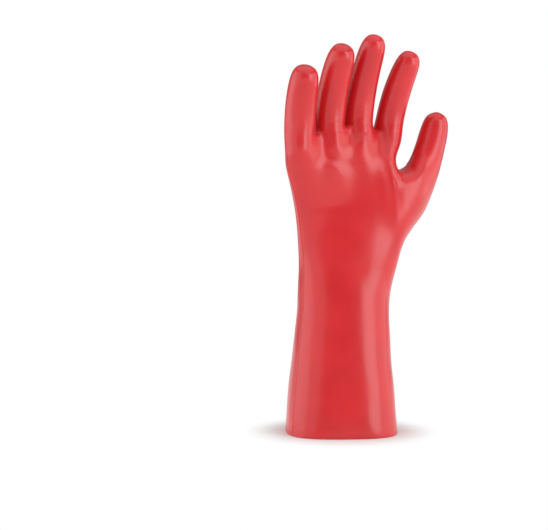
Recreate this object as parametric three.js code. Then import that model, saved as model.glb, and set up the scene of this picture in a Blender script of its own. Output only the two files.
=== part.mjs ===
// A right-hand gauntlet work glove: knitted cotton dipped in PVC, standing open on its cuff.
// Millimetres, +Z up from the cuff's edge to the fingertips, palm facing -Y, thumb towards +X.
// The glove is one hollow wall. Its outside is a smoothed cage: rings up the cuff and palm, a plate of
// faces across the knuckles, and fingers and thumb grown from blocks of four faces. The inside follows it.
import * as THREE from "three";

// Driving sizes, in millimetres and degrees.
const WALL = 1.5; // liner and coating together
const WEB_HEIGHT = 266; // cuff edge to the web between the ring and middle fingers
const WEB_WIDTH = 3.6; // between two finger roots
const CUFF_WIDTH = 97; // at the open edge
const CUFF_DEPTH = 90;
const CUFF_TURN = -24; // the cuff's oval is turned about Z against the palm
const WRIST_WIDTH = 80;
const WRIST_DEPTH = 63;
const PALM_WIDTH = 106;
const PALM_DEPTH = 50;
const KNUCKLE_DEPTH = 28; // through the row of finger roots
const KNUCKLE_DROP = 17; // how much lower the outer finger roots sit than the highest web
const KNUCKLE_ARCH = 5; // how much nearer the palm the outer finger roots sit
const KNUCKLE_PEAK = 8; // place across the row of the highest web
const KNUCKLE_ACROSS = -2.6; // the middle of the row against the middle of the cuff
const HAND_LEAN = 5; // how much nearer the palm the finger roots sit than the cuff's middle

// The fingers from the little finger to the index. Splay leans a finger towards the thumb, and pitch
// towards the palm, at its root and at its tip.
const FINGERS = [
  { name: "little", length: 66, width: 27, rootSplay: -3, tipSplay: -7, rootPitch: 4, tipPitch: 38 },
  { name: "ring", length: 76, width: 26.5, rootSplay: 0, tipSplay: 0, rootPitch: 4, tipPitch: 42 },
  { name: "middle", length: 84, width: 25, rootSplay: 1, tipSplay: 2, rootPitch: 4, tipPitch: 38 },
  { name: "index", length: 79, width: 24.5, rootSplay: 7, tipSplay: 9, rootPitch: 4, tipPitch: 38 },
];

// The thumb grows from the side of the palm. Spread is its lean outwards. Its axis starts inside the
// palm, at a place given in shares of the palm's width and depth and of the web height.
const THUMB = {
  name: "thumb",
  length: 112,
  width: 26.5,
  rootSpread: 38,
  tipSpread: 2,
  rootPitch: 4,
  tipPitch: 10,
  across: 0.453,
  near: 0.2,
  up: 0.677,
};

// Thickness along a finger and along the thumb, as shares of its width, at shares of its length. The
// thumb's first rings slant from square to its axis, in degrees, so that its web rises from the palm.
const FINGER_GIRTH = [
  { along: 0.12, girth: 1.03 },
  { along: 0.28, girth: 1.0 },
  { along: 0.45, girth: 1.0 },
  { along: 0.62, girth: 0.97 },
  { along: 0.78, girth: 0.93 },
  { along: 0.9, girth: 0.82 },
  { along: 0.975, girth: 0.54 },
];
const THUMB_GIRTH = [
  { along: 0.3, girth: 1.22, slant: 50 },
  { along: 0.37, girth: 1.24, slant: 42 },
  { along: 0.45, girth: 1.18, slant: 26 },
  { along: 0.57, girth: 1.08, slant: 8 },
  { along: 0.69, girth: 1.0 },
  { along: 0.81, girth: 0.96 },
  { along: 0.91, girth: 0.84 },
  { along: 0.975, girth: 0.54 },
];

const knuckleWidth =
  FINGERS.reduce((sum, finger) => sum + finger.width, 0) + WEB_WIDTH * (FINGERS.length - 1);

const COLUMNS = FINGERS.length * 3; // corners across the palm: three to a finger
const RING = 2 * COLUMNS + 2; // and one more at each side

// Sections up the cuff and the palm. up is a share of the web height; width and depth are worked out
// from shares of the named sizes; across and near shift the section towards the thumb and the palm, as
// shares of the palm's width and of the hand's lean; square is the power of its oval, 2 for an ellipse;
// fan is how far its corners have gathered to the finger roots; spread is the half angle that the thumb's
// side takes up.
const EVEN = 360 / RING;
const SECTIONS = [
  {
    up: 0, width: CUFF_WIDTH, depth: CUFF_DEPTH,
    across: 0, near: 0, square: 2.9, fan: 0, spread: EVEN,
  },
  {
    up: 0.03, width: CUFF_WIDTH, depth: CUFF_DEPTH,
    across: 0, near: 0, square: 2.8, fan: 0, spread: EVEN,
  },
  {
    up: 0.16, width: 0.94 * CUFF_WIDTH, depth: 0.9 * CUFF_DEPTH,
    across: 0, near: 0, square: 2.5, fan: 0, spread: EVEN,
  },
  {
    up: 0.31, width: 1.04 * WRIST_WIDTH, depth: 1.11 * WRIST_DEPTH,
    across: 0.01, near: 0, square: 2.3, fan: 0, spread: EVEN,
  },
  {
    up: 0.45, width: WRIST_WIDTH, depth: WRIST_DEPTH,
    across: 0.02, near: 0, square: 2.1, fan: 0.05, spread: EVEN,
  },
  {
    up: 0.56, width: 1.1 * WRIST_WIDTH, depth: 1.14 * PALM_DEPTH,
    across: 0.062, near: 0.2, square: 2.1, fan: 0.1, spread: 20,
  },
  {
    up: 0.64, width: 0.91 * PALM_WIDTH, depth: 1.06 * PALM_DEPTH,
    across: 0.082, near: 0.4, square: 2.1, fan: 0.2, spread: 28,
  },
  {
    up: 0.74, width: 0.93 * PALM_WIDTH, depth: 1.02 * PALM_DEPTH,
    across: 0.062, near: 0.6, square: 2.2, fan: 0.4, spread: 34,
  },
  {
    up: 0.866, width: 0.96 * PALM_WIDTH, depth: 0.9 * PALM_DEPTH,
    across: -0.01, near: 0.8, square: 2.2, fan: 0.6, spread: 30,
  },
  {
    up: 0.916, width: 0.98 * PALM_WIDTH, depth: 0.77 * PALM_DEPTH,
    across: -0.048, near: 0.9, square: 2.3, fan: 0.8, spread: 20,
  },
  {
    up: 0.955, width: 0.95 * knuckleWidth, depth: 0.68 * PALM_DEPTH,
    across: -0.042, near: 1, square: 2.5, fan: 0.95, spread: EVEN,
  },
];
const PALM_GATHER = 3.4; // the power of fan by which the palm's corners sink between the finger roots
const BACK_GATHER = 2.5; // and the back's
const THUMB_ROOT = SECTIONS.length - 5; // the section under the thumb's block, two sections high

// Hollows and swellings of the hand. side is -1 for the palm and 1 for the back. across and width are
// shares of the palm's width, up and length of the web height, and depth of the wrist's depth; a
// swelling's depth is negative. They run straight out of the hand, turned towards the little finger.
const DENT_TURN = -30;
const DENTS = [
  { name: "palm hollow", side: -1, across: -0.06, up: 0.76, width: 0.25, length: 0.11, depth: 0.07 },
  { name: "thumb mass", side: -1, across: 0.46, up: 0.75, width: 0.2, length: 0.11, depth: -0.1 },
  { name: "thumb root", side: -1, across: 0.62, up: 0.77, width: 0.15, length: 0.1, depth: -0.08 },
  { name: "heel mass", side: -1, across: -0.35, up: 0.66, width: 0.12, length: 0.12, depth: -0.02 },
  { name: "finger pads", side: -1, across: -0.05, up: 0.9, width: 0.4, length: 0.04, depth: -0.02 },
  { name: "pad line", side: -1, across: -0.15, up: 0.84, width: 0.3, length: 0.03, depth: 0.01 },
  { name: "inner wrist", side: -1, across: 0.02, up: 0.52, width: 0.22, length: 0.06, depth: 0.03 },
  { name: "back hollow", side: 1, across: -0.2, up: 0.8, width: 0.16, length: 0.08, depth: 0.03 },
  { name: "back of the thumb", side: 1, across: 0.34, up: 0.72, width: 0.09, length: 0.08, depth: 0.05 },
];

const BESIDE_THUMB = COLUMNS; // the corner of a ring where the thumb's block begins
const FINGER_SIDES = 8;
const UP = new THREE.Vector3(0, 0, 1);

const radians = THREE.MathUtils.degToRad;
const mix = THREE.MathUtils.lerp;

// A cage's corner lies outside the smoothed surface by this factor, for a ring of that many corners.
const swell = (corners) => 6 / (4 + 2 * Math.cos((2 * Math.PI) / corners));

const cage = { points: [], faces: [] };
const addPoint = (point) => cage.points.push(point) - 1;
const addFace = (...corners) => cage.faces.push(corners);

// A finger root's corner, as shares of half the knuckles' width and depth. side is -1 for the palm's
// row, 1 for the back's and 0 for the row between them; a root has three corners in each.
function rootShare(side, column) {
  const index = Math.floor(column / 3);
  const before = FINGERS.slice(0, index).reduce((sum, finger) => sum + finger.width + WEB_WIDTH, 0);
  const { width } = FINGERS[index];
  const step = (column % 3) - 1;
  const round = side && step ? Math.SQRT1_2 : 1;
  const x = before + width / 2 - knuckleWidth / 2 + (step * round * width * swell(FINGER_SIDES)) / 2;
  return { x: x / (knuckleWidth / 2), y: side * round * swell(FINGER_SIDES) };
}

// Height of the row of finger roots at a place across the hand, and how far it lies towards the palm.
function knuckleAt(x) {
  const out = (x - KNUCKLE_PEAK) / (knuckleWidth / 2);
  return { near: HAND_LEAN + KNUCKLE_ARCH * out * out, up: WEB_HEIGHT - KNUCKLE_DROP * out * out };
}

// The ring of a section: the little finger's side, across the palm, the thumb's side, and back.
function sectionRing(section) {
  const place = (side, column, angle) => {
    const power = 2 / section.square;
    const sine = Math.sin(radians(angle));
    const cosine = Math.cos(radians(angle));
    const oval = new THREE.Vector3(
      -Math.sign(cosine) * Math.abs(cosine) ** power * section.width,
      side * Math.abs(sine) ** power * section.depth,
      0,
    ).multiplyScalar(swell(RING) / 2);
    oval.applyAxisAngle(UP, radians(CUFF_TURN * (1 - section.fan)));
    const root = rootShare(side, column);
    const x = mix(oval.x, (root.x * section.width) / 2, section.fan);
    const gather = section.fan ** (side < 0 ? PALM_GATHER : BACK_GATHER);
    const y = mix(oval.y, (root.y * section.depth) / 2, gather);
    const knuckle = knuckleAt(x);
    return new THREE.Vector3(
      x + section.across * PALM_WIDTH,
      y - section.near * mix(HAND_LEAN, knuckle.near, section.fan),
      section.up * mix(WEB_HEIGHT, knuckle.up, section.fan),
    );
  };
  const columns = [...Array(COLUMNS).keys()];
  const angleOf = (column) => ((column + 1) * (180 - section.spread)) / COLUMNS;
  return [
    place(0, 0, 0),
    ...columns.map((column) => place(-1, column, angleOf(column))),
    place(0, COLUMNS - 1, 180),
    ...columns.toReversed().map((column) => place(1, column, angleOf(column))),
  ].map(addPoint);
}

// The plate of faces across the knuckles: its rim continues the palm's rings, and a middle row of
// corners runs along it from side to side.
function knucklePlate() {
  const rowOf = (side) =>
    [...Array(COLUMNS).keys()].map((column) => {
      const share = rootShare(side, column);
      const x = (share.x * knuckleWidth) / 2;
      const { near, up } = knuckleAt(x);
      return addPoint(new THREE.Vector3(x + KNUCKLE_ACROSS, (share.y * KNUCKLE_DEPTH) / 2 - near, up));
    });
  const [palm, middle, back] = [-1, 0, 1].map(rowOf);
  for (let column = 2; column < COLUMNS - 1; column += 3) {
    addFace(palm[column], palm[column + 1], middle[column + 1], middle[column]);
    addFace(middle[column], middle[column + 1], back[column + 1], back[column]);
  }
  return { palm, middle, back };
}

function joinRings(lower, upper, keep = () => true) {
  lower.forEach((corner, k) => {
    const next = (k + 1) % lower.length;
    if (keep(k)) addFace(corner, lower[next], upper[next], upper[k]);
  });
}

// Points and frames along a finger. turn gives the direction at a share of the length.
function fingerStations(root, length, girths, turn, sideways) {
  const steps = 60;
  const path = [root.clone()];
  for (let step = 0; step < steps; step++) {
    path.push(path[step].clone().addScaledVector(turn((step + 0.5) / steps), length / steps));
  }
  return girths.map(({ along, girth, slant = 0 }) => {
    const facing = turn(along).applyAxisAngle(sideways, radians(slant));
    const side = sideways.clone().addScaledVector(facing, -sideways.dot(facing)).normalize();
    const top = new THREE.Vector3().crossVectors(facing, side).divideScalar(Math.cos(radians(slant)));
    return { centre: path[Math.round(along * steps)], side, top, girth };
  });
}

// Grows a finger from a loop of eight corners, ring by ring, and closes its tip with four faces.
function growFinger(loop, stations, width, tip) {
  let last = loop;
  for (const { centre, side, top, girth } of stations) {
    const radius = ((girth * width) / 2) * swell(FINGER_SIDES);
    const ring = loop.map((_, k) => {
      const angle = radians(225 + (360 / FINGER_SIDES) * k);
      const out = side.clone().multiplyScalar(radius * Math.cos(angle));
      return addPoint(out.addScaledVector(top, radius * Math.sin(angle)).add(centre));
    });
    joinRings(last, ring);
    last = ring;
  }
  const end = addPoint(tip);
  for (let k = 0; k < FINGER_SIDES; k += 2) {
    addFace(last[(k + 7) % FINGER_SIDES], last[k], last[k + 1], end);
  }
}

// The direction of a finger that leans by splay across the hand and by pitch towards the palm.
function heading(splay, pitch) {
  return new THREE.Vector3(Math.tan(radians(splay)), -Math.tan(radians(pitch)), 1).normalize();
}

function buildCage() {
  const rings = SECTIONS.map(sectionRing);
  const { palm, middle, back } = knucklePlate();
  const last = COLUMNS - 1;
  rings.push([middle[0], ...palm, middle[last], ...back.toReversed()]);
  const inThumb = (level, k) =>
    (level === THUMB_ROOT || level === THUMB_ROOT + 1) && (k === BESIDE_THUMB || k === BESIDE_THUMB + 1);
  rings.slice(1).forEach((ring, level) => joinRings(rings[level], ring, (k) => !inThumb(level, k)));

  FINGERS.forEach((finger, index) => {
    const c = index * 3;
    const loop = [
      palm[c], palm[c + 1], palm[c + 2], middle[c + 2], back[c + 2], back[c + 1], back[c], middle[c],
    ];
    const turn = (along) =>
      heading(
        mix(finger.rootSplay, finger.tipSplay, along),
        mix(finger.rootPitch, finger.tipPitch, along),
      );
    const root = cage.points[middle[c + 1]];
    const sideways = new THREE.Vector3(1, 0, 0);
    const stations = fingerStations(root, finger.length, FINGER_GIRTH, turn, sideways);
    const end = fingerStations(root, finger.length, [{ along: 1, girth: 0 }], turn, sideways)[0];
    growFinger(loop, stations, finger.width, end.centre);
  });

  const [low, mid, high] = [0, 1, 2].map((step) => rings[THUMB_ROOT + step]);
  const k = BESIDE_THUMB;
  const loop = [
    low[k], low[k + 1], low[k + 2], mid[k + 2], high[k + 2], high[k + 1], high[k], mid[k],
  ];
  const turn = (along) =>
    heading(
      mix(THUMB.rootSpread, THUMB.tipSpread, along),
      mix(THUMB.rootPitch, THUMB.tipPitch, along),
    );
  const root = new THREE.Vector3(
    THUMB.across * PALM_WIDTH,
    -THUMB.near * PALM_DEPTH,
    THUMB.up * WEB_HEIGHT,
  );
  const sideways = new THREE.Vector3(0, 1, 0);
  const stations = fingerStations(root, THUMB.length, THUMB_GIRTH, turn, sideways);
  const end = fingerStations(root, THUMB.length, [{ along: 1, girth: 0 }], turn, sideways)[0];
  growFinger(loop, stations, THUMB.width, end.centre);
}

// The mesh without the points that no face uses, such as those in the middle of a finger's root.
function trimmed({ points, faces }) {
  const used = [...new Set(faces.flat())];
  const place = new Map(used.map((corner, index) => [corner, index]));
  return {
    points: used.map((corner) => points[corner]),
    faces: faces.map((face) => face.map((corner) => place.get(corner))),
  };
}

// One round of Catmull-Clark smoothing, with the open edge kept as a smooth curve of its own.
function smooth({ points, faces }) {
  const centre = (corners) =>
    corners
      .reduce((sum, corner) => sum.add(points[corner]), new THREE.Vector3())
      .divideScalar(corners.length);
  const edges = new Map();
  const around = points.map(() => ({ faces: [], edges: new Set() }));
  faces.forEach((face, f) => {
    face.forEach((corner, k) => {
      const next = face[(k + 1) % face.length];
      const key = Math.min(corner, next) + "," + Math.max(corner, next);
      if (!edges.has(key)) edges.set(key, { ends: [corner, next], faces: [] });
      edges.get(key).faces.push(f);
      around[corner].faces.push(f);
      around[corner].edges.add(key);
      around[next].edges.add(key);
    });
  });
  const facePoints = faces.map(centre);
  const made = { points: [], faces: [] };
  points.forEach((point, p) => {
    const spokes = [...around[p].edges].map((key) => edges.get(key));
    const open = spokes.filter((edge) => edge.faces.length === 1);
    if (open.length) {
      const ends = open.map((edge) => points[edge.ends[0] === p ? edge.ends[1] : edge.ends[0]]);
      made.points.push(point.clone().multiplyScalar(6).add(ends[0]).add(ends[1]).divideScalar(8));
      return;
    }
    const n = spokes.length;
    const moved = point.clone().multiplyScalar(n - 3);
    for (const face of around[p].faces) moved.addScaledVector(facePoints[face], 1 / n);
    for (const edge of spokes) moved.addScaledVector(centre(edge.ends), 2 / n);
    made.points.push(moved.divideScalar(n));
  });
  facePoints.forEach((point) => made.points.push(point));
  const edgeAt = new Map();
  for (const [key, edge] of edges) {
    const middle = centre(edge.ends);
    if (edge.faces.length === 2) {
      middle.add(facePoints[edge.faces[0]].clone().add(facePoints[edge.faces[1]]).divideScalar(2));
      middle.divideScalar(2);
    }
    edgeAt.set(key, made.points.push(middle) - 1);
  }
  faces.forEach((face, f) => {
    face.forEach((corner, k) => {
      const next = face[(k + 1) % face.length];
      const before = face[(k + face.length - 1) % face.length];
      const key = (a, b) => Math.min(a, b) + "," + Math.max(a, b);
      made.faces.push([
        corner,
        edgeAt.get(key(corner, next)),
        points.length + f,
        edgeAt.get(key(before, corner)),
      ]);
    });
  });
  return made;
}

// Outward directions at the points, level at the open edge so that the cuff stands flat.
function normalsOf({ points, faces }) {
  const normals = points.map(() => new THREE.Vector3());
  for (const [a, b, c, d] of faces) {
    const across = points[c].clone().sub(points[a]);
    const along = points[d].clone().sub(points[b]);
    const normal = across.cross(along);
    for (const corner of [a, b, c, d]) normals[corner].add(normal);
  }
  return normals.map((normal, p) => {
    if (points[p].z < WALL / 10) normal.z = 0;
    return normal.normalize();
  });
}

// The skin with the hollows and swellings worked in, each where the skin faces its own way.
function dented(skin) {
  const normals = normalsOf(skin);
  const points = skin.points.map((point, p) =>
    DENTS.reduce((moved, dent) => {
      const outward = new THREE.Vector3(0, dent.side, 0).applyAxisAngle(UP, radians(DENT_TURN));
      const facing = Math.max(0, normals[p].dot(outward));
      const x = (point.x / PALM_WIDTH - dent.across) / dent.width;
      const z = (point.z / WEB_HEIGHT - dent.up) / dent.length;
      const press = dent.depth * WRIST_DEPTH * facing * Math.exp(-x * x - z * z);
      return moved.addScaledVector(outward, -press);
    }, point.clone()),
  );
  return { points, faces: skin.faces };
}

// The closed wall: the outside, the inside a wall's thickness in, and the flat edge between them.
function wallGeometry(skin) {
  const normals = normalsOf(skin);
  const outer = skin.points;
  const inner = outer.map((point, p) => point.clone().addScaledVector(normals[p], -WALL));
  const count = outer.length;
  const index = [];
  const quad = (a, b, c, d) => index.push(a, b, c, a, c, d);
  const open = new Map();
  for (const face of skin.faces) {
    quad(...face);
    quad(...face.toReversed().map((corner) => corner + count));
    face.forEach((corner, k) => {
      const next = face[(k + 1) % face.length];
      if (outer[corner].z < WALL / 10 && outer[next].z < WALL / 10) open.set(corner, next);
    });
  }
  for (const [corner, next] of open) quad(next, corner, corner + count, next + count);
  const geometry = new THREE.BufferGeometry().setFromPoints([...outer, ...inner]);
  geometry.setIndex(index);
  geometry.computeVertexNormals();
  return geometry;
}

buildCage();
const skin = dented(smooth(trimmed(cage)));
const pvc = new THREE.MeshStandardMaterial({ color: 0xcf2230, roughness: 0.32, metalness: 0 });
const glove = new THREE.Mesh(wallGeometry(skin), pvc);
glove.name = "glove";
glove.geometry.computeBoundingBox();
const middle = glove.geometry.boundingBox.getCenter(new THREE.Vector3());
glove.geometry.translate(-middle.x, -middle.y, 0);
const part = new THREE.Group();
part.add(glove);

export default part;
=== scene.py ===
"""A right-hand gauntlet work glove: knitted cotton dipped in glossy red PVC, standing open on its cuff.

Metres, +Z up from the cuff's edge to the fingertips, palm facing -Y, thumb towards +X.
"""
import logging
import math
from collections.abc import Sequence
from dataclasses import dataclass, field
from enum import Enum

import bmesh
import bpy
import numpy as np
from mathutils import Matrix, Quaternion, Vector, noise
from mathutils.kdtree import KDTree


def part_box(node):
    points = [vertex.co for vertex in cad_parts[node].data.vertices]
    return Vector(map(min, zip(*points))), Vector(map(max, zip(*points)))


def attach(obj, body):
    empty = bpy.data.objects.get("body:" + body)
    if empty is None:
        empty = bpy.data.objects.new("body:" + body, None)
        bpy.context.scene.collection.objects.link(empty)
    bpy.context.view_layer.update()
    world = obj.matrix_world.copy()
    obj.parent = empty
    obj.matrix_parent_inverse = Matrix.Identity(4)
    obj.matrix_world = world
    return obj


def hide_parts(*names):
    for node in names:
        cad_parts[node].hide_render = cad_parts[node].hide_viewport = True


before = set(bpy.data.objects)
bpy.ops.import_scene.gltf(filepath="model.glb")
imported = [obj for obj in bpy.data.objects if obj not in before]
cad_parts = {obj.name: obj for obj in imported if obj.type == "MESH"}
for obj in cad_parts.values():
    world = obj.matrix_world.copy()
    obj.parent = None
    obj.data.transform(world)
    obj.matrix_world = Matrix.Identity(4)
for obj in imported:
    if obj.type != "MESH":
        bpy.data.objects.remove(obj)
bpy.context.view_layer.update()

LOG = logging.getLogger("glove")
MM = 0.001
WHITE = (1, 1, 1, 1)

# Corners nearer than this are merged.
TOUCH = 0.01 * MM

# A finger's block has three corners each way. Its rings start at the palm's corner on the little finger's
# side and go round over the thumb's side to the back. The thumb's block lies on its side.
ACROSS = 3
THUMBWARD, LITTLEWARD = 3, 7
THUMB_BELOW, THUMB_ABOVE = 1, 5
MIDDLE = 8

# The Mix node's sockets for colours: the two inputs and the result.
MIX_LOW, MIX_HIGH, MIX_RESULT = 6, 7, 2


class Side(Enum):
    """The two faces of the hand, by the sign of their outward Y."""

    PALM = -1
    BACK = 1


@dataclass(frozen=True)
class Finger:
    """A finger's sizes in millimetres and its leans in degrees, at its root and at its tip."""

    name: str
    length: float
    width: float
    root_splay: float
    tip_splay: float
    root_pitch: float
    tip_pitch: float


@dataclass(frozen=True)
class Section:
    """One ring of corners up the cuff and the palm.

    up is a share of the web height, width and depth are in millimetres, across and near shift the ring
    as shares of the palm's width and of the hand's lean, square is the power of its oval, fan says how
    far its corners have gathered to the finger roots, and spread is the thumb side's half angle.
    """

    up: float
    width: float
    depth: float
    across: float
    near: float
    square: float
    fan: float
    spread: float


@dataclass(frozen=True)
class Press:
    """A soft hollow of the skin, or a swelling where its depth is negative, in millimetres.

    x and z place it on one face of the hand, and turn leans its length from upright towards +X.
    """

    name: str
    side: Side
    x: float
    z: float
    half_width: float
    half_length: float
    depth: float
    turn: float = 0.0


@dataclass(frozen=True)
class Smoothing:
    """A patch of the hand, on both its faces, where the skin is smoothed, in millimetres and degrees."""

    name: str
    x: float
    z: float
    half_width: float
    half_length: float
    turn: float = 0.0


@dataclass(frozen=True)
class Pleats:
    """A patch of fine parallel folds, in millimetres and degrees; turn 0 runs the folds across the hand."""

    name: str
    side: Side
    x: float
    z: float
    half_width: float
    half_length: float
    pitch: float
    height: float
    turn: float


@dataclass(frozen=True)
class Sleeve:
    """Thickness along a finger: girth as a share of its width, at a share of its length.

    slant leans the ring from square to the finger, in degrees.
    """

    along: float
    girth: float
    slant: float = 0.0


def swell(corners: int) -> float:
    """Returns how far out a corner of a cage's ring lies, as a factor on the smoothed surface's radius."""
    # Smoothing puts a ring's point at four sixths of its corner and one sixth of each neighbour.
    return 6 / (4 + 2 * math.cos(math.tau / corners))


def mix(low: float, high: float, share: float) -> float:
    """Returns the value at a share of the way from low to high."""
    return low + (high - low) * share


def heading(splay: float, pitch: float) -> Vector:
    """Returns a finger's unit direction, from its leans across the hand and towards the palm in degrees."""
    return Vector((math.tan(math.radians(splay)), -math.tan(math.radians(pitch)), 1)).normalized()


def direction(bearing: float, rise: float) -> Vector:
    """Returns a unit direction, bearing degrees from the palm's side to the thumb's and rise degrees up."""
    turn, lift = math.radians(bearing), math.radians(rise)
    return Vector((math.sin(turn) * math.cos(lift), -math.cos(turn) * math.cos(lift), math.sin(lift)))


@dataclass
class HandPlan:
    """The glove's driving sizes, in millimetres, and the corners that follow from them."""

    web_height: float = 266
    web_width: float = 3.6
    cuff_width: float = 97
    cuff_depth: float = 90
    cuff_turn: float = -24
    wrist_width: float = 80
    wrist_depth: float = 63
    palm_width: float = 106
    palm_depth: float = 50
    knuckle_depth: float = 28
    knuckle_drop: float = 17
    knuckle_arch: float = 5
    knuckle_peak: float = 8
    knuckle_across: float = -2.6
    hand_lean: float = 5
    seam_turn: float = 3
    twist_fan: float = 0.15
    palm_gather: float = 3.4
    back_gather: float = 2.5
    fingers: tuple[Finger, ...] = (
        Finger("little", 66, 27, -3, -7, 4, 38),
        Finger("ring", 76, 26.5, 0, 0, 4, 42),
        Finger("middle", 84, 25, 1, 2, 4, 38),
        Finger("index", 79, 24.5, 7, 9, 4, 38),
    )
    thumb: Finger = Finger("thumb", 112, 26.5, 38, 2, 4, 10)
    thumb_across: float = 0.453
    thumb_near: float = 0.2
    thumb_up: float = 0.677
    finger_sleeve: tuple[Sleeve, ...] = (
        Sleeve(0.12, 1.03),
        Sleeve(0.28, 1.0),
        Sleeve(0.45, 1.0),
        Sleeve(0.62, 0.97),
        Sleeve(0.78, 0.93),
        Sleeve(0.9, 0.82),
        Sleeve(0.975, 0.54),
    )
    thumb_sleeve: tuple[Sleeve, ...] = (
        Sleeve(0.3, 1.22, 50),
        Sleeve(0.37, 1.24, 42),
        Sleeve(0.45, 1.18, 26),
        Sleeve(0.57, 1.08, 8),
        Sleeve(0.69, 1.0),
        Sleeve(0.81, 0.96),
        Sleeve(0.91, 0.84),
        Sleeve(0.975, 0.54),
    )
    thumb_rings_down: int = 5
    finger_sides: int = 8
    ring_start: float = 225
    path_steps: int = 60

    def __post_init__(self) -> None:
        """Works out the knuckles' width and the rings of the cuff and palm."""
        self.columns = len(self.fingers) * ACROSS
        self.ring = 2 * self.columns + 2
        self.even = 360 / self.ring
        self.knuckle_width = sum(finger.width for finger in self.fingers)
        self.knuckle_width += self.web_width * (len(self.fingers) - 1)
        cuff, deep = self.cuff_width, self.cuff_depth
        wrist, slim = self.wrist_width, self.wrist_depth
        palm, flat = self.palm_width, self.palm_depth
        even = self.even
        self.sections = (
            Section(0, cuff, deep, 0, 0, 2.9, 0, even),
            Section(0.03, cuff, deep, 0, 0, 2.8, 0, even),
            Section(0.16, 0.94 * cuff, 0.9 * deep, 0, 0, 2.5, 0, even),
            Section(0.31, 1.04 * wrist, 1.11 * slim, 0.01, 0, 2.3, 0, even),
            Section(0.45, wrist, slim, 0.02, 0, 2.1, 0.05, even),
            Section(0.56, 1.1 * wrist, 1.14 * flat, 0.062, 0.2, 2.1, 0.1, 20),
            Section(0.64, 0.91 * palm, 1.06 * flat, 0.082, 0.4, 2.1, 0.2, 28),
            Section(0.74, 0.93 * palm, 1.02 * flat, 0.062, 0.6, 2.2, 0.4, 34),
            Section(0.866, 0.96 * palm, 0.9 * flat, -0.01, 0.8, 2.2, 0.6, 30),
            Section(0.916, 0.98 * palm, 0.77 * flat, -0.048, 0.9, 2.3, 0.8, 20),
            Section(0.955, 0.95 * self.knuckle_width, 0.68 * flat, -0.042, 1, 2.5, 0.95, even),
        )
        self.thumb_root = len(self.sections) - self.thumb_rings_down

    def root_share(self, row: int, column: int) -> tuple[float, float]:
        """Places a corner of a finger's root.

        Args:
            row: -1 for the palm's row, 1 for the back's and 0 for the row between them.
            column: The corner's place across the hand, three to a finger.

        Returns:
            Its place across and through the hand, as shares of half the knuckles' width and depth.
        """
        index, step = column // ACROSS, column % ACROSS - 1
        before = sum(finger.width + self.web_width for finger in self.fingers[:index])
        width = self.fingers[index].width
        rounding = math.sqrt(0.5) if row and step else 1
        x = before + width / 2 - self.knuckle_width / 2
        x += step * rounding * width * swell(self.finger_sides) / 2
        return x / (self.knuckle_width / 2), row * rounding * swell(self.finger_sides)

    def knuckle_at(self, x: float) -> tuple[float, float]:
        """Gives the row of finger roots at a place across the hand.

        Args:
            x: The place across, in millimetres.

        Returns:
            How far the row lies towards the palm, and its height.
        """
        out = (x - self.knuckle_peak) / (self.knuckle_width / 2)
        near = self.hand_lean + self.knuckle_arch * out * out
        return near, self.web_height - self.knuckle_drop * out * out

    def corner(self, section: Section, row: int, column: int, angle: float) -> Vector:
        """Places one corner of a section's ring.

        Args:
            section: The ring.
            row: -1 for the palm's side, 1 for the back's and 0 for the ends.
            column: The corner's place across the hand.
            angle: Its angle round the oval from the little finger's side, in degrees.

        Returns:
            The corner in metres.
        """
        power = 2 / section.square
        turned = self.cuff_turn * (1 - section.fan)
        start = math.radians(-angle if row > 0 else angle)
        keep = max(0, 1 - section.fan / self.twist_fan)
        back_turn = (self.seam_turn * (1 - section.fan) - turned) * mix((1 + math.cos(start)) / 2, 1, keep)
        sine, cosine = (wave(start + math.radians(back_turn)) for wave in (math.sin, math.cos))
        oval = Vector((-math.copysign(abs(cosine) ** power, cosine) * section.width, 0))
        oval.y = -math.copysign(abs(sine) ** power, sine) * section.depth
        oval *= swell(self.ring) / 2
        oval.rotate(Matrix.Rotation(math.radians(turned), 2))
        share_x, share_y = self.root_share(row, column)
        x = mix(oval.x, share_x * section.width / 2, section.fan)
        gather = section.fan ** (self.palm_gather if row < 0 else self.back_gather)
        y = mix(oval.y, share_y * section.depth / 2, gather)
        near, up = self.knuckle_at(x)
        return MM * Vector(
            (
                x + section.across * self.palm_width,
                y - section.near * mix(self.hand_lean, near, section.fan),
                section.up * mix(self.web_height, up, section.fan),
            )
        )

    def section_ring(self, section: Section) -> list[Vector]:
        """Places a section's ring, from the little finger's side across the palm and round the back.

        Args:
            section: The ring.

        Returns:
            Its corners.
        """
        columns = range(self.columns)
        angles = [(column + 1) * (180 - section.spread) / self.columns for column in columns]
        palm = [self.corner(section, -1, column, angles[column]) for column in columns]
        back = [self.corner(section, 1, column, angles[column]) for column in reversed(columns)]
        ends = [self.corner(section, 0, 0, 0), self.corner(section, 0, self.columns - 1, 180)]
        return [ends[0], *palm, ends[1], *back]

    def knuckle_row(self, row: int) -> list[Vector]:
        """Places a row of corners across the knuckles.

        Args:
            row: -1 for the palm's row, 1 for the back's and 0 for the row between them.

        Returns:
            The row's corners from the little finger's side.
        """
        made = []
        for column in range(self.columns):
            share_x, share_y = self.root_share(row, column)
            x = share_x * self.knuckle_width / 2
            near, up = self.knuckle_at(x)
            made.append(MM * Vector((x + self.knuckle_across, share_y * self.knuckle_depth / 2 - near, up)))
        return made

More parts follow.
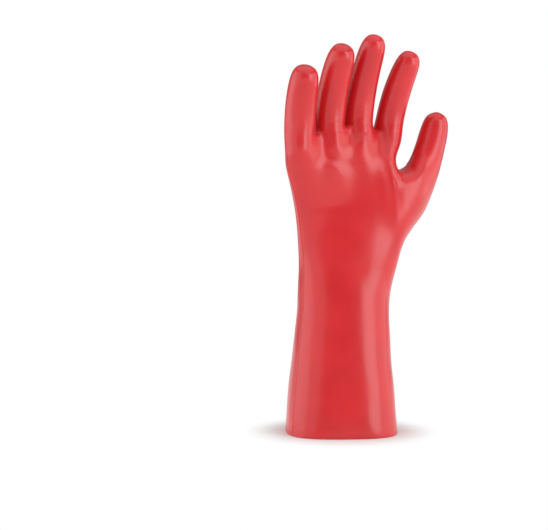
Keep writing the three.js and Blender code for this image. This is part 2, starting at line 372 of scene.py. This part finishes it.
    def finger_rings(self, finger: Finger, root: Vector, sideways: Vector) -> list[list[Vector]]:
        """Places the rings along a finger.

        Args:
            finger: The finger or thumb.
            root: Where its middle line starts.
            sideways: The direction across its block of faces.

        Returns:
            For each ring its corners, then its middle, which is the tip itself in the last ring.
        """
        sleeve = self.thumb_sleeve if finger is self.thumb else self.finger_sleeve
        step = finger.length * MM / self.path_steps
        path = [root.copy()]
        for index in range(self.path_steps):
            path.append(path[-1] + step * self.turn(finger, (index + 0.5) / self.path_steps))
        rings = []
        for part in sleeve:
            slant = math.radians(part.slant)
            facing = Quaternion(sideways, slant) @ self.turn(finger, part.along)
            side = (sideways - sideways.dot(facing) * facing).normalized()
            top = facing.cross(side) / math.cos(slant)
            centre = path[round(part.along * self.path_steps)]
            radius = part.girth * finger.width * MM / 2 * swell(self.finger_sides)
            turns = [self.ring_start + 360 / self.finger_sides * k for k in range(self.finger_sides)]
            angles = [math.radians(turn) for turn in turns]
            ring = [centre + radius * (math.cos(a) * side + math.sin(a) * top) for a in angles]
            rings.append([*ring, path[-1] if part is sleeve[-1] else centre])
        return rings

    def turn(self, finger: Finger, along: float) -> Vector:
        """Returns a finger's direction at a share of its length."""
        splay = mix(finger.root_splay, finger.tip_splay, along)
        return heading(splay, mix(finger.root_pitch, finger.tip_pitch, along))


class Bench:
    """Edit-mode work on one mesh, whose corners are known by their places."""

    def __init__(self, piece: bpy.types.Object) -> None:
        """Opens the piece in edit mode.

        Args:
            piece: The mesh object, which is active.
        """
        self.piece = piece
        bpy.ops.object.mode_set(mode="EDIT")
        bpy.ops.mesh.select_mode(type="VERT")

    @property
    def mesh(self) -> bmesh.types.BMesh:
        """The mesh in edit mode."""
        return bmesh.from_edit_mesh(self.piece.data)

    def clear(self, kind: str) -> bmesh.types.BMesh:
        """Deselects everything.

        Args:
            kind: What is selected next: "EDGE" or "FACE".

        Returns:
            The mesh in edit mode.
        """
        bpy.ops.mesh.select_mode(type=kind)
        bpy.ops.mesh.select_all(action="DESELECT")
        return self.mesh

    def close(self) -> None:
        """Leaves edit mode."""
        bpy.ops.object.mode_set(mode="OBJECT")

    def at(self, mesh: bmesh.types.BMesh, points: Sequence[Vector]) -> list[int]:
        """Finds corners by their places.

        Args:
            mesh: The mesh in edit mode.
            points: The places.

        Returns:
            The number of the nearest corner to each.
        """
        mesh.verts.index_update()
        corners = [(corner.index, corner.co.copy()) for corner in mesh.verts]
        return [min(corners, key=lambda corner: (corner[1] - point).length_squared)[0] for point in points]

    def pick_edges(self, paths: Sequence[Sequence[Vector]]) -> None:
        """Selects the edges along paths of corners.

        Args:
            paths: The corners' places along each path.
        """
        mesh = self.clear("EDGE")
        wanted = set()
        for path in paths:
            corners = self.at(mesh, path)
            wanted.update(frozenset(pair) for pair in zip(corners, corners[1:]))
        for edge in mesh.edges:
            edge.select_set(frozenset(corner.index for corner in edge.verts) in wanted)
        bmesh.update_edit_mesh(self.piece.data)

    def pick_faces(self, points: Sequence[Vector]) -> None:
        """Selects the faces whose corners all lie at given places.

        Args:
            points: The places.
        """
        mesh = self.clear("FACE")
        block = set(self.at(mesh, points))
        for face in mesh.faces:
            face.select_set(block.issuperset(corner.index for corner in face.verts))
        bmesh.update_edit_mesh(self.piece.data)

    def settle(self, was: Sequence[Vector], now: Sequence[Vector]) -> None:
        """Moves the selected corners to new places.

        Args:
            was: Where the selected corners lie.
            now: Where each goes.
        """
        mesh = self.mesh
        for corner in mesh.verts:
            if corner.select:
                k = min(range(len(was)), key=lambda k: (was[k] - corner.co).length_squared)
                corner.co = now[k]
        bmesh.update_edit_mesh(self.piece.data)


class Wire:
    """A shader socket that takes part in arithmetic on values."""

    def __init__(self, paint: "Paint", socket: bpy.types.NodeSocket) -> None:
        """Wraps an output socket of a tree."""
        self.paint = paint
        self.socket = socket

    def __add__(self, other: "Wire | float") -> "Wire":
        """Returns the sum."""
        return self.paint.maths("ADD", self, other)

    __radd__ = __add__

    def __mul__(self, other: "Wire | float") -> "Wire":
        """Returns the product."""
        return self.paint.maths("MULTIPLY", self, other)

    __rmul__ = __mul__

    def __sub__(self, other: "Wire | float") -> "Wire":
        """Returns the difference."""
        return self.paint.maths("SUBTRACT", self, other)

    def __rsub__(self, other: "Wire | float") -> "Wire":
        """Returns the difference the other way round."""
        return self.paint.maths("SUBTRACT", other, self)


class Paint:
    """The node tree of a material or of the room, with one method that makes any node."""

    def __init__(self, owner: bpy.types.Material | bpy.types.World) -> None:
        """Empties the tree.

        Args:
            owner: What the tree belongs to.
        """
        owner.use_nodes = True
        self.owner = owner
        self.tree = owner.node_tree
        self.tree.nodes.clear()

    def node(self, kind: str, settings: dict | None = None, sockets: dict | None = None) -> bpy.types.Node:
        """Makes a node.

        Args:
            kind: The node's type.
            settings: Its properties.
            sockets: Values, colours or wires by the name or number of the input.

        Returns:
            The node.
        """
        made = self.tree.nodes.new(kind)
        for name, setting in (settings or {}).items():
            setattr(made, name, setting)
        for name, value in (sockets or {}).items():
            if isinstance(value, Wire):
                self.tree.links.new(value.socket, made.inputs[name])
            else:
                made.inputs[name].default_value = value
        return made

    def wire(self, node: bpy.types.Node, output: str | int = 0) -> Wire:
        """Returns one of a node's outputs."""
        return Wire(self, node.outputs[output])

    def maths(self, operation: str, first: Wire | float, second: Wire | float = 0.0) -> Wire:
        """Returns what a Math node makes of one or two values."""
        return self.wire(self.node("ShaderNodeMath", {"operation": operation}, {0: first, 1: second}))

    def blend(self, factor: Wire, low: tuple, high: tuple) -> Wire:
        """Returns the mix of two colours, where factor is the share of the second."""
        sockets = {"Factor": factor, MIX_LOW: low, MIX_HIGH: high}
        return self.wire(self.node("ShaderNodeMix", {"data_type": "RGBA"}, sockets), MIX_RESULT)

    def place(self) -> Wire:
        """Returns the shaded point's place in the object's own axes."""
        return self.wire(self.node("ShaderNodeTexCoord"), "Object")

    def cloud(self, place: Wire, scale: float, detail: float) -> Wire:
        """Returns noise of about 0.5 at a place, with scale humps to a metre and detail finer layers."""
        sockets = {"Vector": place, "Scale": scale, "Detail": detail}
        return self.wire(self.node("ShaderNodeTexNoise", None, sockets), "Fac")

    def bump(self, height: Wire, strength: float, depth: float) -> Wire:
        """Returns the normal over a height from 0 to 1, where 1 stands for depth millimetres."""
        sockets = {"Height": height, "Strength": strength, "Distance": depth * MM}
        return self.wire(self.node("ShaderNodeBump", None, sockets))

    def surface(self, sockets: dict) -> bpy.types.Material:
        """Closes a material with a plain surface.

        Args:
            sockets: Values, colours or wires by the name of the surface's input.

        Returns:
            The material.
        """
        shader = self.node("ShaderNodeBsdfPrincipled", None, sockets)
        self.node("ShaderNodeOutputMaterial", None, {"Surface": self.wire(shader)})
        return self.owner


@dataclass(frozen=True)
class CoatingFinish:
    """Glossy red PVC over a knitted liner, cloudy in its colour and gloss, with a fine uneven grain."""

    deep: tuple[float, float, float, float] = (0.54, 0.008, 0.012, 1)
    bright: tuple[float, float, float, float] = (0.74, 0.015, 0.019, 1)
    roughness: float = 0.33
    roughness_sway: float = 0.12
    coat: float = 0.3
    coat_roughness: float = 0.18
    ior: float = 1.5
    cloud_scale: float = 38.0
    cloud_detail: float = 3.0
    cloud_middle: float = 0.5
    grain_scale: float = 900.0
    grain_share: float = 0.12
    peel_scale: float = 210.0
    peel_share: float = 0.6
    fine_detail: float = 2.0
    bump_strength: float = 0.18
    bump_depth: float = 0.4

    def material(self) -> bpy.types.Material:
        """Makes the material.

        Returns:
            The coating's material.
        """
        paint = Paint(bpy.data.materials.new("coating"))
        place = paint.place()
        cloud = paint.cloud(place, self.cloud_scale, self.cloud_detail)
        grain = paint.cloud(place, self.grain_scale, self.fine_detail)
        peel = paint.cloud(place, self.peel_scale, self.fine_detail)
        height = grain * self.grain_share + peel * self.peel_share
        return paint.surface(
            {
                "Base Color": paint.blend(cloud, self.deep, self.bright),
                "Roughness": self.roughness + self.roughness_sway * (cloud - self.cloud_middle),
                "IOR": self.ior,
                "Coat Weight": self.coat,
                "Coat Roughness": self.coat_roughness,
                "Normal": paint.bump(height, self.bump_strength, self.bump_depth),
            }
        )


@dataclass(frozen=True)
class LiningFinish:
    """Natural cotton jersey on the inside, its stitches wale and course millimetres across and high."""

    yarn: tuple[float, float, float, float] = (0.80, 0.74, 0.66, 1)
    gap: tuple[float, float, float, float] = (0.55, 0.30, 0.26, 1)
    wale: float = 1.3
    course: float = 1.0
    cuff_radius: float = 45
    course_shift: float = 0.25
    knit_share: float = 0.25
    knit_middle: float = 0.5
    roughness: float = 0.95
    bump_strength: float = 0.6
    bump_depth: float = 0.4

    def material(self) -> bpy.types.Material:
        """Makes the material.

        Returns:
            The lining's material.
        """
        paint = Paint(bpy.data.materials.new("lining"))
        parts = paint.node("ShaderNodeSeparateXYZ", None, {0: paint.place()})
        x, y, z = (paint.wire(parts, axis) for axis in "XYZ")
        stitches = paint.maths("ARCTAN2", y, x) * (self.cuff_radius / self.wale)
        wales = paint.maths("SINE", stitches * math.tau)
        courses = z * (1 / (self.course * MM)) + wales * self.course_shift
        rows = paint.maths("SINE", courses * math.tau)
        knit = wales * self.knit_share + rows * self.knit_share + self.knit_middle
        return paint.surface(
            {
                "Base Color": paint.blend(knit, self.gap, self.yarn),
                "Roughness": self.roughness,
                "Normal": paint.bump(knit, self.bump_strength, self.bump_depth),
            }
        )


@dataclass
class GloveShell:
    """The glove's one wall: outer coating, inner lining and the cut edge of the cuff.

    Sizes are in millimetres. The skin is a cage of faces, extruded ring by ring, then subdivided, and
    pressed into its soft forms. The seam's ridge follows the edge between the palm and the back. The
    soft and fine relief is the uneven dip, which calms towards the fingertips and ends at the foot.
    """

    plan: HandPlan
    wall: float = 1.5
    first_levels: int = 2
    last_levels: int = 1
    seam_reach: float = 1.3
    seam_rows: int = 4
    seam_step: float = 0.3
    seam_least: int = 2
    ridge_height: float = 0.65
    ridge_half: float = 0.95
    edge_round: float = 0.4
    edge_rows: int = 3
    edge_reach: float = 0.3
    edge_slope: float = 0.5
    foot_height: float = 3
    press_lean: float = 30
    soft_size: float = 30
    soft_height: float = 0.55
    fine_size: float = 9
    fine_height: float = 0.1
    calm_from: float = 262
    calm_over: float = 30
    calm_least: float = 0.25
    wander: float = 3.0
    dents: tuple[Press, ...] = ()
    pleats: tuple[Pleats, ...] = ()
    smoothings: tuple[Smoothing, ...] = ()
    smooth_rounds: int = 110
    smooth_factor: float = 0.5
    smooth_least: float = 0.02
    finishes: tuple[CoatingFinish | LiningFinish, ...] = ()
    piece: bpy.types.Object = field(init=False)
    seam_points: list[Vector] = field(init=False, default_factory=list)
    shift: Vector = field(init=False, default_factory=Vector)

    def build(self) -> bpy.types.Object:
        """Builds the glove.

        Returns:
            The finished piece, with its place in its mesh.
        """
        self.model_cage()
        self.subdivide(self.first_levels)
        self.widen_seam()
        self.subdivide(self.last_levels)
        self.press_forms()
        self.soften()
        self.thicken()
        self.round_edge()
        self.piece.name = "glove_shell"
        return self.piece

    def model_cage(self) -> None:
        """Extrudes the cage from a circle: cuff, palm, knuckles, fingers and thumb."""
        plan = self.plan
        bpy.ops.object.select_all(action="DESELECT")
        bpy.ops.mesh.primitive_circle_add(vertices=plan.ring, radius=plan.cuff_width * MM / 2)
        self.piece = bpy.context.object
        bench = Bench(self.piece)
        rings = [plan.section_ring(section) for section in plan.sections]
        palm, middle, back = (plan.knuckle_row(row) for row in (-1, 0, 1))
        rings.append([middle[0], *palm, middle[-1], *reversed(back)])
        bench.settle([corner.co.copy() for corner in bench.mesh.verts], rings[0])
        for below, ring in zip(rings, rings[1:]):
            bpy.ops.mesh.extrude_edges_move()
            bench.settle(below, ring)
        bench.pick_edges([palm])
        for below, row in ((palm, middle), (middle, back)):
            bpy.ops.mesh.extrude_edges_move()
            bench.settle(below, row)
        bpy.ops.mesh.select_all(action="SELECT")
        bpy.ops.mesh.remove_doubles(threshold=TOUCH)

        line = [ring[0] for ring in rings]
        for index, finger in enumerate(plan.fingers):
            c = index * ACROSS
            block = [palm[c], palm[c + 1], palm[c + 2], middle[c + 2], back[c + 2], back[c + 1], back[c]]
            block += [middle[c], middle[c + 1]]
            grown = plan.finger_rings(finger, middle[c + 1], Vector((1, 0, 0)))
            self.grow(bench, block, grown)
            line += self.over_tip(grown, LITTLEWARD, THUMBWARD)
            line += middle[c + ACROSS - 1 : c + ACROSS + 1]

        low, mid, high = rings[plan.thumb_root : plan.thumb_root + ACROSS]
        k = plan.columns
        block = [low[k], low[k + 1], low[k + 2], mid[k + 2], high[k + 2], high[k + 1], high[k]]
        block += [mid[k], mid[k + 1]]
        root = Vector((plan.thumb_across * plan.palm_width, -plan.thumb_near * plan.palm_depth, 0))
        root.z = plan.thumb_up * plan.web_height
        grown = plan.finger_rings(plan.thumb, root * MM, Vector((0, 1, 0)))
        self.grow(bench, block, grown)
        thumb_side = [ring[k + 1] for ring in rings[:-1]]
        line += list(reversed(thumb_side[plan.thumb_root + ACROSS - 1 :]))
        line += self.over_tip(grown, THUMB_ABOVE, THUMB_BELOW)
        line += list(reversed(thumb_side[: plan.thumb_root + 1]))

        bench.pick_edges([line])
        bpy.ops.mesh.mark_seam(clear=False)
        bpy.ops.mesh.select_all(action="SELECT")
        bpy.ops.mesh.normals_make_consistent(inside=False)
        bench.close()

    def over_tip(self, grown: list[list[Vector]], up: int, down: int) -> list[Vector]:
        """Returns the places up one corner of a finger's rings, over its tip and down another corner."""
        return [ring[up] for ring in grown] + [grown[-1][MIDDLE]] + [ring[down] for ring in reversed(grown)]

    def grow(self, bench: Bench, block: list[Vector], grown: list[list[Vector]]) -> None:
        """Extrudes a finger from its block of four faces.

        Args:
            bench: The cage in edit mode.
            block: The block's corners in the order of a ring, and its middle.
            grown: The finger's rings.
        """
        bench.pick_faces(block)
        for was, ring in zip([block, *grown], grown):
            bpy.ops.mesh.extrude_region_move()
            bench.settle(was, ring)

    def modify(self, kind: str, **settings: float | str) -> None:
        """Adds a modifier and applies it.

        Args:
            kind: The modifier's type.
            **settings: Its settings by name.
        """
        bpy.ops.object.modifier_add(type=kind)
        modifier = self.piece.modifiers[-1]
        for name, setting in settings.items():
            setattr(modifier, name, setting)
        bpy.ops.object.modifier_apply(modifier=modifier.name)

    def subdivide(self, levels: int) -> None:
        """Subdivides the whole skin a number of times."""
        self.modify("SUBSURF", levels=levels, render_levels=levels, boundary_smooth="ALL")

    def widen_seam(self) -> None:
        """Splits the seam's line into a narrow strip of rows, which the ridge needs."""
        mesh = self.piece.data
        ends = [edge.vertices[:] for edge in mesh.edges if edge.use_seam]
        LOG.info("seam line of %d edges", len(ends))
        for a, b in ends:
            start, end = mesh.vertices[a].co, mesh.vertices[b].co
            steps = max(self.seam_least, math.ceil((end - start).length / (self.seam_step * MM)))
            self.seam_points += [start.lerp(end, step / steps) for step in range(steps + 1)]
        bench = Bench(self.piece)
        mesh = bench.clear("EDGE")
        for edge in mesh.edges:
            edge.select_set(edge.seam)
        bmesh.update_edit_mesh(self.piece.data)
        bpy.ops.mesh.bevel(offset=self.seam_reach * MM, segments=self.seam_rows, affect="EDGES")
        bench.close()

    def places(self) -> np.ndarray:
        """Reads the skin's points.

        Returns:
            The points in metres, one row each.
        """
        mesh = self.piece.data
        flat = np.empty(len(mesh.vertices) * 3)
        mesh.vertices.foreach_get("co", flat)
        return flat.reshape(-1, 3)

    def outward(self) -> np.ndarray:
        """Reads the skin's outward directions.

        Returns:
            The unit directions, one row a point.
        """
        mesh = self.piece.data
        flat = np.empty(len(mesh.vertices) * 3, dtype=np.float32)
        mesh.vertex_normals.foreach_get("vector", flat)
        return flat.reshape(-1, 3).astype(float)

    def put(self, points: np.ndarray) -> None:
        """Moves the first points of the mesh.

        Args:
            points: Their new places, one row each.
        """
        mesh = self.piece.data
        every = self.places()
        every[: len(points)] = points
        mesh.vertices.foreach_set("co", every.reshape(-1))
        mesh.update()

    def press_forms(self) -> None:
        """Presses the soft forms into the skin and moves the glove to its place in the frame."""
        points, normals = self.places(), self.outward()
        centre = (points.min(0) + points.max(0)) / 2
        goal = [(low + high) / 2 for low, high in zip(*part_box("glove"))]
        points[:, :2] += np.array(goal)[:2] - centre[:2]
        self.shift = Vector((goal[0] - centre[0], goal[1] - centre[1], 0))
        self.put(points - sum(self.pressed(dent, points, normals) for dent in self.dents))

    def soften(self) -> None:
        """Smooths the folds that the presses leave beside the thumb's root and under the fingers."""
        points = self.places()
        shares = np.max([self.patch(area, points)[0] for area in self.smoothings], axis=0)
        group = self.piece.vertex_groups.new(name="smoothed")
        for index in np.flatnonzero(shares > self.smooth_least):
            group.add([int(index)], float(shares[index]), "REPLACE")
        self.modify(
            "SMOOTH", vertex_group=group.name, iterations=self.smooth_rounds, factor=self.smooth_factor
        )
        moved = np.linalg.norm(self.places() - points, axis=1) / MM
        LOG.info("softened by %.2f mm at most, %.3f mm on average", moved.max(), moved.mean())

    def pressed(self, dent: Press, points: np.ndarray, normals: np.ndarray) -> np.ndarray:
        """Works out how far a dent presses each point.

        Args:
            dent: The dent.
            points: The skin's points in metres.
            normals: Its outward directions.

        Returns:
            The moves in metres, against the face's own direction.
        """
        lean = math.radians(self.press_lean)
        outward = dent.side.value * np.array((math.sin(lean), math.cos(lean), 0))
        facing = np.clip(normals @ outward, 0, 1)
        share, _ = self.patch(dent, points)
        return dent.depth * MM * (facing * share)[:, None] * outward

    def patch(self, area: Press | Smoothing | Pleats, points: np.ndarray) -> tuple[np.ndarray, np.ndarray]:
        """Measures points against a patch on the hand, which fades out from its middle.

        Args:
            area: The patch.
            points: The points in metres.

        Returns:
            Each point's share in the patch, and its place along it in millimetres.
        """
        across, up = points[:, 0] / MM - area.x, points[:, 2] / MM - area.z
        sine, cosine = math.sin(math.radians(area.turn)), math.cos(math.radians(area.turn))
        u, w = across * cosine - up * sine, across * sine + up * cosine
        return np.exp(-((u / area.half_width) ** 2) - (w / area.half_length) ** 2), w

    def uneven(self, points: np.ndarray, size: float) -> np.ndarray:
        """Returns smooth noise from -1 to 1 at points in metres, with humps of a size in millimetres."""
        return np.array([noise.noise(Vector(point) / (size * MM)) for point in points])

    def relief(self, points: np.ndarray, normals: np.ndarray) -> np.ndarray:
        """Works out the coating's fine relief: the seam's ridge, the pleats and the uneven dip.

        Args:
            points: The skin's points in metres.
            normals: Its outward directions.

        Returns:
            How far each point moves outwards, in metres.
        """
        tree = KDTree(len(self.seam_points))
        for index, point in enumerate(self.seam_points):
            tree.insert(point + self.shift, index)
        tree.balance()
        away = np.array([tree.find(point)[2] for point in points]) / MM
        up = np.clip((points[:, 2] / MM - self.calm_from) / self.calm_over, 0, 1)
        calm = mix(1, self.calm_least, up)
        rise = calm * self.ridge_height * MM * np.exp(-((away / self.ridge_half) ** 2))
        soft, fine = (self.uneven(points, size) for size in (self.soft_size, self.fine_size))
        for pleat in self.pleats:
            facing = np.clip(normals[:, 1] * pleat.side.value, 0, 1)
            share, w = self.patch(pleat, points)
            phase = math.tau * w / pleat.pitch + self.wander * fine
            rise += pleat.height * MM * facing * share * np.cos(phase)
        return rise + calm * MM * (self.soft_height * soft + self.fine_height * fine)

    def thicken(self) -> None:
        """Gives the skin its wall, then works the relief into the outside alone."""
        bpy.ops.object.shade_smooth()
        for finish in self.finishes:
            self.piece.data.materials.append(finish.material())
        outer, normals = self.places(), self.outward()
        self.modify("SOLIDIFY", thickness=self.wall * MM, offset=-1, material_offset=1)
        relief = self.relief(outer, normals)
        foot = np.clip(outer[:, 2] / (self.foot_height * MM), 0, 1)
        self.put(outer + normals * (relief * foot)[:, None])

    def round_edge(self) -> None:
        """Flattens the cuff's cut edge to stand on, and rounds its two corners."""
        bench = Bench(self.piece)
        mesh = bench.clear("EDGE")
        for corner in mesh.verts:
            if corner.co.z < self.edge_reach * MM:
                corner.co.z = 0
        for edge in mesh.edges:
            flat = all(corner.co.z == 0 for corner in edge.verts)
            steep = any(abs(face.normal.z) < self.edge_slope for face in edge.link_faces)
            edge.select_set(flat and steep)
        bmesh.update_edit_mesh(self.piece.data)
        bpy.ops.mesh.bevel(offset=self.edge_round * MM, segments=self.edge_rows, affect="EDGES")
        bench.close()
        bpy.ops.object.shade_smooth()


@dataclass(frozen=True)
class SoftLight:
    """A large soft lamp, sized in metres and placed round the glove.

    bearing is in degrees round from the camera towards the thumb's side, and rise in degrees upwards.
    """

    name: str
    bearing: float
    rise: float
    distance: float
    width: float
    height: float
    radiance: float


@dataclass
class Studio:
    """The white room and floor, the soft lights and the camera, in metres and degrees.

    pixels is the picture's size, axis_pixel is where the cuff's axis at the eye's height stands in it, and
    scale is how many pixels a slope of 1 spans. The floor takes a shadow near the cuff and fades to plain
    white between floor_near and floor_far.
    """

    bearing: float = -30.0
    distance: float = 1.05
    eye_height: float = 0.175
    cuff_axis: tuple[float, float] = (-0.01694, 0.0)
    pixels: tuple[int, int] = (548, 530)
    axis_pixel: tuple[float, float] = (341.0, 231.5)
    scale: float = 1197.0
    sensor: float = 36.0
    near_clip: float = 0.01
    floor_size: float = 6.0
    floor_gap: float = 0.0002
    floor_near: float = 0.046
    floor_far: float = 0.088
    floor_colour: tuple[float, float, float, float] = (0.92, 0.92, 0.92, 1)
    floor_roughness: float = 0.6
    room_light: float = 0.28
    lights: tuple[SoftLight, ...] = (
        SoftLight("key", 55, 10, 1.3, 0.7, 1.5, 3.0),
        SoftLight("key_side", 98, 10, 1.3, 1.2, 1.5, 1.15),
        SoftLight("fill", -82, 12, 1.3, 1.2, 1.5, 1.6),
        SoftLight("fill_front", -40, 14, 1.5, 0.8, 1.5, 0.8),
        SoftLight("top", 0, 80, 1.3, 1.8, 1.8, 0.8),
    )

    def place_camera(self) -> None:
        """Stands the camera to see the palm, and shifts its aim to the glove's place in the picture."""
        turn = math.radians(self.bearing)
        away = direction(self.bearing, 0) * self.distance
        right = self.axis_pixel[0] - self.pixels[0] / 2
        above = self.pixels[1] / 2 - self.axis_pixel[1]
        bpy.ops.object.camera_add(
            location=(self.cuff_axis[0] + away.x, self.cuff_axis[1] + away.y, self.eye_height),
            rotation=(math.pi / 2 - math.atan(above / self.scale), 0, turn + math.atan(right / self.scale)),
        )
        camera = bpy.context.object
        camera.data.sensor_width = self.sensor
        camera.data.lens = self.scale / self.pixels[0] * self.sensor
        camera.data.clip_start = self.near_clip
        bpy.context.scene.camera = camera

    def hang_lights(self) -> None:
        """Hangs the soft lights, each facing the middle of the glove."""
        target = Vector((self.cuff_axis[0], self.cuff_axis[1], self.eye_height))
        for light in self.lights:
            out = direction(self.bearing + light.bearing, light.rise)
            bpy.ops.object.light_add(type="AREA", location=target + out * light.distance)
            lamp = bpy.context.object
            lamp.name = f"lamp_{light.name}"
            lamp.rotation_euler = out.to_track_quat("Z", "Y").to_euler()
            lamp.data.shape = "RECTANGLE"
            lamp.data.size = light.width
            lamp.data.size_y = light.height
            lamp.data.energy = light.radiance * math.pi * light.width * light.height

    def lay_floor(self) -> None:
        """Lays the white floor under the cuff."""
        bpy.ops.object.select_all(action="DESELECT")
        bpy.ops.mesh.primitive_plane_add(size=self.floor_size, location=(0, 0, -self.floor_gap))
        floor = bpy.context.object
        floor.name = "floor"
        paint = Paint(bpy.data.materials.new("floor"))
        sockets = {0: paint.place(), 1: (*self.cuff_axis, 0)}
        off = paint.wire(paint.node("ShaderNodeVectorMath", {"operation": "SUBTRACT"}, sockets))
        away = paint.wire(paint.node("ShaderNodeVectorMath", {"operation": "LENGTH"}, {0: off}), "Value")
        sockets = {"Value": away, "From Min": self.floor_near, "From Max": self.floor_far}
        fade = paint.wire(paint.node("ShaderNodeMapRange", {"interpolation_type": "SMOOTHSTEP"}, sockets))
        sockets = {"Base Color": self.floor_colour, "Roughness": self.floor_roughness}
        lit = paint.wire(paint.node("ShaderNodeBsdfPrincipled", None, sockets))
        plain = paint.wire(paint.node("ShaderNodeEmission", None, {"Color": WHITE, "Strength": 1.0}))
        shader = paint.node("ShaderNodeMixShader", None, {0: fade, 1: lit, 2: plain})
        paint.node("ShaderNodeOutputMaterial", None, {"Surface": paint.wire(shader)})
        floor.data.materials.append(paint.owner)

    def light_room(self) -> None:
        """Makes a room that the camera sees white and that lights the glove softly."""
        bpy.context.scene.world = bpy.data.worlds.new("room")
        paint = Paint(bpy.context.scene.world)
        seen, lighting = (
            paint.wire(paint.node("ShaderNodeBackground", None, {"Color": WHITE, "Strength": strength}))
            for strength in (1.0, self.room_light)
        )
        camera_ray = paint.wire(paint.node("ShaderNodeLightPath"), "Is Camera Ray")
        choice = paint.node("ShaderNodeMixShader", None, {0: camera_ray, 1: lighting, 2: seen})
        paint.node("ShaderNodeOutputWorld", None, {"Surface": paint.wire(choice)})

    def set_up(self) -> None:
        """Sets up the whole studio."""
        self.place_camera()
        self.hang_lights()
        self.lay_floor()
        self.light_room()
        bpy.context.scene.view_settings.view_transform = "Standard"


PRESSES = (
    Press("palm hollow", Side.PALM, -24, 202, 27, 30, 4.5),
    Press("thumb mass", Side.PALM, 43, 191, 13.5, 33, -13.5, 10),
    Press("inner thumb mass", Side.PALM, 27, 203.5, 9.5, 34, -9.3),
    Press("thumb root", Side.PALM, 34, 227.5, 14, 18, -12.5, -30),
    Press("palm edge", Side.PALM, 11.4, 217, 9, 34, -3.9, -7),
    Press("heel mass", Side.PALM, -54, 176, 12, 30, -1.5),
    Press("palm crease", Side.PALM, -38, 197, 20, 3.0, 0.8, -3),
    Press("little pad", Side.PALM, -64, 240, 11, 26, -1.6),
    Press("ring pad", Side.PALM, -33, 246, 10, 8, -2.2),
    Press("middle pad", Side.PALM, -6, 248, 10, 9, -2.4),
    Press("index pad", Side.PALM, 20, 243, 8, 9, -1.0),
    Press("little web", Side.PALM, -46.5, 251, 9, 12, 5.0),
    Press("ring web", Side.PALM, -18, 259, 6.5, 9, 4.0),
    Press("index web", Side.PALM, 11, 257, 6.5, 11, 4.5, 10),
    Press("pad valley", Side.PALM, -38, 239, 5, 17, 3.2, -68),
    Press("inner wrist", Side.PALM, -14.8, 138.3, 23.3, 16.0, 1.9),
    Press("back hollow", Side.BACK, -38.1, 212.8, 17.0, 21.3, 1.9),
    Press("back of the thumb", Side.BACK, 19.1, 191.5, 9.5, 21.3, 3.2),
)
SMOOTHINGS = (
    Smoothing("thumb root", 37, 205, 18, 36, 8),
    Smoothing("pads", -22, 245, 50, 7),
    Smoothing("little edge", -68, 236, 14, 16),
)
PLEATS = (
    Pleats("ring root", Side.PALM, -31, 258, 8, 13, 6.5, 0.22, 4),
    Pleats("middle root", Side.PALM, -3, 264, 8, 14, 6.0, 0.22, -3),
    Pleats("index root", Side.PALM, 23, 254, 8, 14, 6.0, 0.14, 8),
    Pleats("thumb web", Side.PALM, 20, 227, 8, 9, 3.6, 0.6, -35),
)


def main() -> None:
    """Builds the glove and its studio."""
    logging.basicConfig(level=logging.INFO, format="%(name)s: %(message)s")
    glove = GloveShell(
        plan=HandPlan(),
        dents=PRESSES,
        smoothings=SMOOTHINGS,
        pleats=PLEATS,
        finishes=(CoatingFinish(), LiningFinish()),
    ).build()
    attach(glove, "root")
    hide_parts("glove")
    LOG.info("%s has %d faces", glove.name, len(glove.data.polygons))
    Studio().set_up()


if __name__ == "__main__":
    main()
